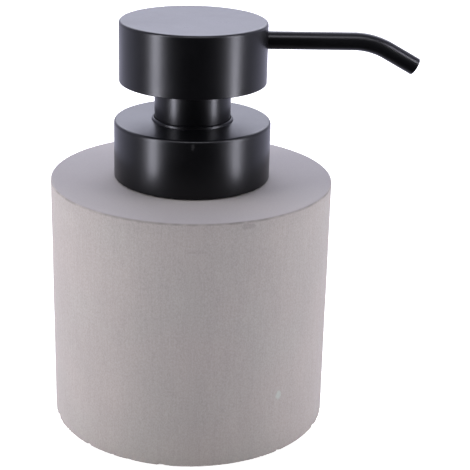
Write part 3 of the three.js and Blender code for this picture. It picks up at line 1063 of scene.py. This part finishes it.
def seat_plug():
    """The plug below the piston, with a pin in the spring and a crossed shank in the stem."""
    wide, low, high = extent("piston_seat")
    shoulder = bottom("pump_stem") - GAP
    pin = 2.6 * mm
    plug = lathe([
        (0, low),
        (pin, low, 0.5 * mm),
        (pin, low + 9 * mm, 0.2 * mm),
        (wide, low + 9 * mm, 0.2 * mm),
        (wide, low + 11 * mm, 0.2 * mm),
        (3.2 * mm, shoulder, 0.15 * mm),
        (0, shoulder),
    ], SMALL_SIDES, 4)
    blade = box_between((-1.7 * mm, -0.45 * mm, shoulder - 0.8 * mm), (1.7 * mm, 0.45 * mm, high))
    blades = grown(ribs_tree, {"Count": 4, "Left out": 2}, "clear_plastic", blade)
    return joined(outward(plug), outward(blades))


def piston_cup():
    """The sliding sleeve, with a lip at each end."""
    lip, low, high = extent("piston")
    inside, waist, foot, head = 3.6 * mm, 5.2 * mm, low + 0.8 * mm, high - 0.8 * mm
    return lathe([
        (inside, foot, 0.1 * mm),
        (lip - 1.1 * mm, foot),
        (lip - 0.6 * mm, low, 0.1 * mm),
        (lip, low, 0.1 * mm),
        (lip, foot + 0.7 * mm, 0.2 * mm),
        (waist, foot + 1.3 * mm, 0.3 * mm),
        (waist, head - 1 * mm, 0.3 * mm),
        (lip, head - 0.4 * mm, 0.2 * mm),
        (lip, high, 0.1 * mm),
        (lip - 0.6 * mm, high, 0.1 * mm),
        (lip - 0.9 * mm, head),
        (inside, head, 0.1 * mm),
    ], SMALL_SIDES, 3)


def coil_spring():
    """The return spring."""
    s = settings().pump
    return grown(coil_tree, {
        "Bottom": bottom("return_spring"), "Top": top("return_spring"),
        "Radius": 4.1 * mm, "Wire": s.wire, "Turns": s.coils,
    }, "drawn_steel")


# ---- The head ----

def press_drum():
    """The hollow drum that the palm presses, open below."""
    s = settings().pump
    radius, low, high = extent("head_shell")
    inside = radius - s.metal_wall
    ceiling = high - s.drum_top
    rows = rows_round(spout_height(), 4.2 * mm, 6)
    bm = lathe([
        (0, ceiling),
        (inside, ceiling, 0.25 * mm),
        *ring_rows(inside, reversed(rows)),
        (inside, low, 0.15 * mm),
        (radius, low, 0.2 * mm),
        *ring_rows(radius, rows),
        (radius, high, s.edge_round),
        (0, high),
    ], ROUND_SIDES)
    return pierced(bm, ROUND_SIDES, 0, rows, (radius, inside), reach("spout_tube") + GAP)


def drum_core():
    """The moulded core: a plate, a rim, the stem's hub, ribs and the spout's socket, as the frame has it."""
    bm = bmesh.new()
    bm.from_mesh(bpy.data.objects["head_core"].data)
    bmesh.ops.remove_doubles(bm, verts=bm.verts, dist=MERGE)
    bmesh.ops.dissolve_limit(bm, angle_limit=math.radians(0.4), verts=bm.verts, edges=bm.edges)
    return bm


def spout_height():
    """The height of the spout's middle where it leaves the drum."""
    return top("spout_tube") - reach("spout_tube")


def bent(node, wall, lip, sides, look):
    """A tube along X as thick as its node, bent down at its tip."""
    s = settings().pump
    low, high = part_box(node)
    radius = reach(node)
    tip = high.x - s.spout_straight - (s.spout_bend + radius) * math.sin(s.spout_angle)
    end = s.spout_straight + s.spout_bend * s.spout_angle + tip / math.cos(s.spout_angle)
    tube = long_tube(radius, radius - wall, low.x, end, lip, sides)
    bmesh.ops.transform(tube, matrix=Matrix.Rotation(math.radians(90), 4, "Y"), verts=tube.verts)
    return grown(bend_tree, {
        "Start": s.spout_straight, "Height": spout_height(), "Radius": s.spout_bend, "Angle": s.spout_angle,
    }, look, tube)


def long_tube(outer, bore, start, end, lip, sides):
    """A tube turned round Z, cut into short rings where it will bend."""
    corners = rounded([(bore, start), (outer, start), (outer, end, lip), (bore, end, lip)], 6)

    def pieces_of(here, there):
        return max(1, math.ceil((there - here).length / (0.6 * mm)))

    return turned(subdivided([*corners, corners[0]], pieces_of), sides)


def bent_spout():
    """The metal spout."""
    return bent("spout_tube", settings().pump.spout_wall, 0.2 * mm, 64, "satin_black")


def inner_hose():
    """The soft hose inside the spout."""
    return bent("spout_liner", 0.5 * mm, 0.12 * mm, 48, "white_plastic")


# ---- Stage ----

def camera_frame():
    """Where the camera stands and how it is turned."""
    s = settings().stage
    radius = reach("concrete_vessel")
    right = Vector((math.cos(s.azimuth), math.sin(s.azimuth), 0))
    level = Vector((-math.sin(s.azimuth), math.cos(s.azimuth), 0))
    ahead = level * math.cos(s.elevation) - Vector((0, 0, math.sin(s.elevation)))
    up = right.cross(ahead)
    aim = right * s.across * radius + Vector((0, 0, s.up * radius))
    place = aim - ahead * s.distance * radius
    tilted_right = right * math.cos(s.roll) + up * math.sin(s.roll)
    tilted_up = tilted_right.cross(ahead)
    turn = Matrix((tilted_right, tilted_up, -ahead)).transposed().to_4x4()
    return Matrix.Translation(place) @ turn


def add_area(name, bearing, distance, size, strength, colour):
    """An oblong light that faces the dispenser, from a bearing of (azimuth, elevation) in degrees."""
    aim = Vector((0, 0, 0.06))
    light = bpy.data.lights.new(name, "AREA")
    light.shape = "RECTANGLE"
    light.size, light.size_y = size
    light.energy = strength
    light.color = colour
    obj = bpy.data.objects.new(name, light)
    az, el = map(math.radians, bearing)
    away = Vector((math.sin(az) * math.cos(el), -math.cos(az) * math.cos(el), math.sin(el)))
    obj.location = aim + away * distance
    obj.rotation_euler = away.to_track_quat("Z", "Y").to_euler()
    bpy.context.scene.collection.objects.link(obj)
    return obj


def lit_world():
    """White where the camera looks past the floor. The pieces see a darker room, brightest behind them."""
    world = bpy.data.worlds.new("studio")
    world.use_nodes = True
    n = Nodes(world.node_tree)
    world.node_tree.nodes.clear()
    _, ahead, _ = n.parts(n.add("ShaderNodeTexCoord", out="Generated"))
    room = n.mix(n.ramp(ahead, -0.25, 0.25), (0.02, 0.02, 0.022, 1.0), (0.97, 0.97, 1.24, 1.0))
    seen = n.add("ShaderNodeLightPath", out="Is Camera Ray")
    colour = n.mix(seen, room, (1.0, 1.0, 1.0, 1.0))
    background = n.add("ShaderNodeBackground", {"Color": colour, "Strength": 1.0})
    n.node("ShaderNodeOutputWorld", {"Surface": background})
    return world


def floor_material():
    """White paper, lit a little from within so that it stays pale everywhere."""
    material, n = new_material("white_paper")
    fibre = n.cloud(900, 2, 0.5)
    n.put(n.shader["Base Color"], n.mix(fibre, (0.80, 0.80, 0.80, 1.0), (0.82, 0.82, 0.82, 1.0)))
    n.put(n.shader["Roughness"], 1.0)
    n.put(n.shader["Specular IOR Level"], 0.0)
    n.put(n.shader["Emission Color"], (1, 1, 1, 1))
    # The paper lights the dispenser's matt surfaces less than it looks, as if it were small.
    matt = n.add("ShaderNodeLightPath", out="Is Diffuse Ray")
    n.put(n.shader["Emission Strength"], 0.72 - matt * 0.52)
    return material


def add_floor(half):
    """A white floor of that half width."""
    mesh = bpy.data.meshes.new("studio_floor")
    bm = bmesh.new()
    bmesh.ops.create_grid(bm, x_segments=2, y_segments=2, size=half)
    bm.to_mesh(mesh)
    bm.free()
    mesh.materials.append(floor_material())
    obj = bpy.data.objects.new("studio_floor", mesh)
    bpy.context.scene.collection.objects.link(obj)
    obj.visible_glossy = False
    obj.visible_shadow = False


def add_lights():
    """Two strips and a glint that only the gloss shows, soft lights that only the matt shows, and a panel."""
    cool, warm = (0.88, 0.88, 1.0), (1.0, 0.97, 0.955)
    for name, azimuth, width, strength in (("left_strip", -59.5, 0.25, 48), ("right_strip", 65.5, 0.24, 42)):
        strip = add_area(name, (azimuth, 8), 1.2, (width, 1.9), strength, cool)
        strip.visible_diffuse = False
    for name, bearing, strength in (("left_soft", (-78, 20), 17), ("right_soft", (82, 18), 13.6),
                                    ("front_soft", (-4, 40), 0.3), ("top_soft", (180, 76), 1),
                                    ("back_soft", (180, 34), 1.5)):
        soft = add_area(name, bearing, 1.3, (0.8, 1.2), strength, warm)
        soft.visible_glossy = False
    glint = add_area("overhead_glint", (0, 64), 1.0, (0.9, 0.3), 7, (0.9, 0.9, 1.0))
    glint.visible_diffuse = False
    add_area("back_panel", (178, 32), 1.4, (1.5, 0.7), 12, (0.86, 0.88, 1.0))


def set_stage():
    """The floor, the room, the lights and the camera."""
    s = settings().stage
    scene = bpy.context.scene
    scene.view_settings.view_transform = "Standard"
    add_floor(s.floor_size)
    scene.world = lit_world()
    add_lights()
    camera = bpy.data.cameras.new("camera")
    camera.sensor_width = 36
    camera.lens = s.lens
    camera.clip_start = 0.01
    view = bpy.data.objects.new("camera", camera)
    view.matrix_world = camera_frame()
    scene.collection.objects.link(view)
    scene.camera = view


# ---- Operators ----

def made(*pieces):
    """Makes each piece of (maker, node, look), and gives an operator's answer."""
    for make, node, look in pieces:
        finished(make, node, look)
    return {"FINISHED"}


class SOAPPUMP_OT_stage(bpy.types.Operator):
    """Set up the floor, the room, the lights and the camera"""
    bl_idname = "soap_pump.stage"
    bl_label = "Stage"

    def execute(self, context):
        set_stage()
        return {"FINISHED"}


class SOAPPUMP_OT_vessel(bpy.types.Operator):
    """Cast the concrete body"""
    bl_idname = "soap_pump.vessel"
    bl_label = "Concrete body"

    def execute(self, context):
        return made((cast_body, "concrete_vessel", "cast_concrete"))


class SOAPPUMP_OT_neck(bpy.types.Operator):
    """Mould the threaded neck that is glued into the mouth"""
    bl_idname = "soap_pump.neck"
    bl_label = "Threaded neck"

    def execute(self, context):
        return made((threaded_neck, "neck_insert", "black_plastic"))


class SOAPPUMP_OT_pad(bpy.types.Operator):
    """Cut the foam pad for the underside"""
    bl_idname = "soap_pump.pad"
    bl_label = "Underside pad"

    def execute(self, context):
        return made((underside_pad, "base_pad", "dark_foam"))


class SOAPPUMP_OT_closure(bpy.types.Operator):
    """Make the metal cover, the screw cap under it and the sealing ring"""
    bl_idname = "soap_pump.closure"
    bl_label = "Closure"

    def execute(self, context):
        return made(
            (metal_cover, "closure_cover", "satin_black"),
            (screw_cap, "screw_ring", "black_plastic"),
            (sealing_ring, "neck_gasket", "dark_foam"),
        )


class SOAPPUMP_OT_barrel(bpy.types.Operator):
    """Make the pump's cylinder, its inlet valve and its suction tube"""
    bl_idname = "soap_pump.barrel"
    bl_label = "Pump barrel"

    def execute(self, context):
        return made(
            (pump_barrel, "pump_housing", "clear_plastic"),
            (slotted_retainer, "ball_retainer", "clear_plastic"),
            (steel_ball, "inlet_ball", "drawn_steel"),
            (suction_tube, "dip_tube", "clear_plastic"),
        )


class SOAPPUMP_OT_collar(bpy.types.Operator):
    """Make the guide round the stem, its wiper and the black sleeve over it"""
    bl_idname = "soap_pump.collar"
    bl_label = "Collar"

    def execute(self, context):
        return made(
            (guide_collar, "stem_guide", "black_plastic"),
            (wiper_ring, "stem_wiper", "white_plastic"),
            (neck_sleeve, "collar_sleeve", "satin_black"),
        )


class SOAPPUMP_OT_plunger(bpy.types.Operator):
    """Make the hollow stem, the plug at its foot and the sliding piston"""
    bl_idname = "soap_pump.plunger"
    bl_label = "Plunger"

    def execute(self, context):
        return made(
            (hollow_stem, "pump_stem", "clear_plastic"),
            (seat_plug, "piston_seat", "clear_plastic"),
            (piston_cup, "piston", "white_plastic"),
        )


class SOAPPUMP_OT_spring(bpy.types.Operator):
    """Wind the return spring, which the plunger shortens"""
    bl_idname = "soap_pump.spring"
    bl_label = "Return spring"

    def execute(self, context):
        spring = finished(coil_spring, "return_spring", "drawn_steel")
        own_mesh(spring)
        return {"FINISHED"}


class SOAPPUMP_OT_head(bpy.types.Operator):
    """Make the metal drum and its moulded core"""
    bl_idname = "soap_pump.head"
    bl_label = "Press drum"

    def execute(self, context):
        return made(
            (press_drum, "head_shell", "satin_black"),
            (drum_core, "head_core", "black_plastic"),
        )


class SOAPPUMP_OT_spout(bpy.types.Operator):
    """Bend the metal spout and the hose inside it"""
    bl_idname = "soap_pump.spout"
    bl_label = "Spout"

    def execute(self, context):
        return made(
            (bent_spout, "spout_tube", "satin_black"),
            (inner_hose, "spout_liner", "white_plastic"),
        )


STEPS = (
    SOAPPUMP_OT_stage,
    SOAPPUMP_OT_vessel,
    SOAPPUMP_OT_neck,
    SOAPPUMP_OT_pad,
    SOAPPUMP_OT_closure,
    SOAPPUMP_OT_barrel,
    SOAPPUMP_OT_collar,
    SOAPPUMP_OT_plunger,
    SOAPPUMP_OT_spring,
    SOAPPUMP_OT_head,
    SOAPPUMP_OT_spout,
)


class SOAPPUMP_PT_panel(bpy.types.Panel):
    """The settings, and a button for each step"""
    bl_idname = "SOAPPUMP_PT_panel"
    bl_label = "Soap Pump"
    bl_space_type = "VIEW_3D"
    bl_region_type = "UI"
    bl_category = "Soap Pump"

    def draw(self, context):
        groups = context.scene.soap_pump
        for group in (groups.vessel, groups.pump, groups.finish, groups.stage):
            box = self.layout.box()
            for name in group.__annotations__:
                box.prop(group, name)
        for step in STEPS:
            self.layout.operator(step.bl_idname)


CLASSES = (
    VesselSettings,
    PumpSettings,
    FinishSettings,
    StageSettings,
    SoapPumpSettings,
    *STEPS,
    SOAPPUMP_PT_panel,
)


def register():
    for cls in CLASSES:
        bpy.utils.register_class(cls)
    bpy.types.Scene.soap_pump = PointerProperty(type=SoapPumpSettings)


def unregister():
    del bpy.types.Scene.soap_pump
    for cls in reversed(CLASSES):
        bpy.utils.unregister_class(cls)


def main():
    register()
    for step in STEPS:
        group, name = step.bl_idname.split(".")
        getattr(getattr(bpy.ops, group), name)()


if __name__ == "__main__":
    main()
